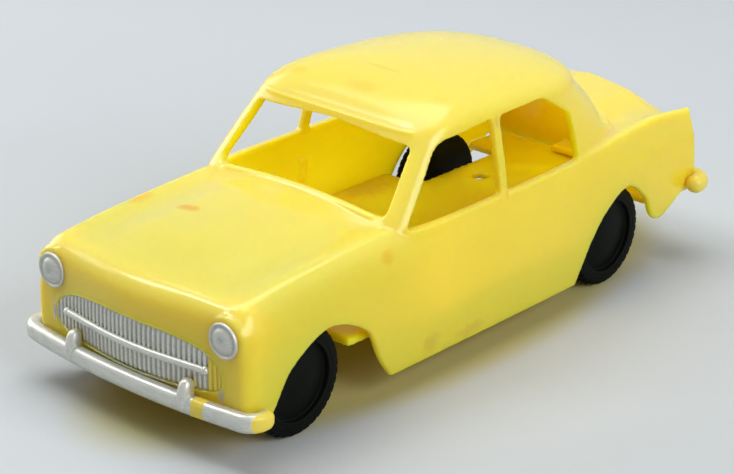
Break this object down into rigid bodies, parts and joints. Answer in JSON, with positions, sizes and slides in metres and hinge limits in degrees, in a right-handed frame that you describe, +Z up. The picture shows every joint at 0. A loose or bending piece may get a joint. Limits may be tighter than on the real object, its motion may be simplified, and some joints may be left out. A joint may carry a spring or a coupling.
{
  "type": "plastic model car",
  "caption": "Pocket-size moulded plastic saloon car with open windows, a toothed grille and bumpers in silver paint, and black wheels that roll on steel axles.",
  "frame": {"origin": "centre of the bounding box, at the level the wheels stand on", "axes": "+Y runs to the tail, so the nose points to -Y; +X is the car's left side; +Z is up"},
  "size_m": [0.044, 0.105, 0.0379],
  "materials": {
    "body_yellow": "glossy pale yellow moulding, slightly translucent",
    "base_yellow": "plain yellow moulding",
    "wheel_black": "semi-gloss black moulding",
    "axle_steel": "plain drawn rod"
  },
  "bodies": {
    "car_body": {"body_shell": "body_yellow", "base_plate": "base_yellow"},
    "front_wheelset": {"front_axle": "axle_steel", "front_left_wheel": "wheel_black", "front_right_wheel": "wheel_black"},
    "rear_wheelset": {"rear_axle": "axle_steel", "rear_left_wheel": "wheel_black", "rear_right_wheel": "wheel_black"}
  },
  "joints": [
    {"name": "front_axle_spin", "type": "hinge", "parent": "car_body", "child": "front_wheelset", "pos_m": [0, -0.0378, 0.0077], "axis": [1, 0, 0], "continuous": true},
    {"name": "rear_axle_spin", "type": "hinge", "parent": "car_body", "child": "rear_wheelset", "pos_m": [0, 0.0289, 0.0077], "axis": [1, 0, 0], "continuous": true}
  ]
}
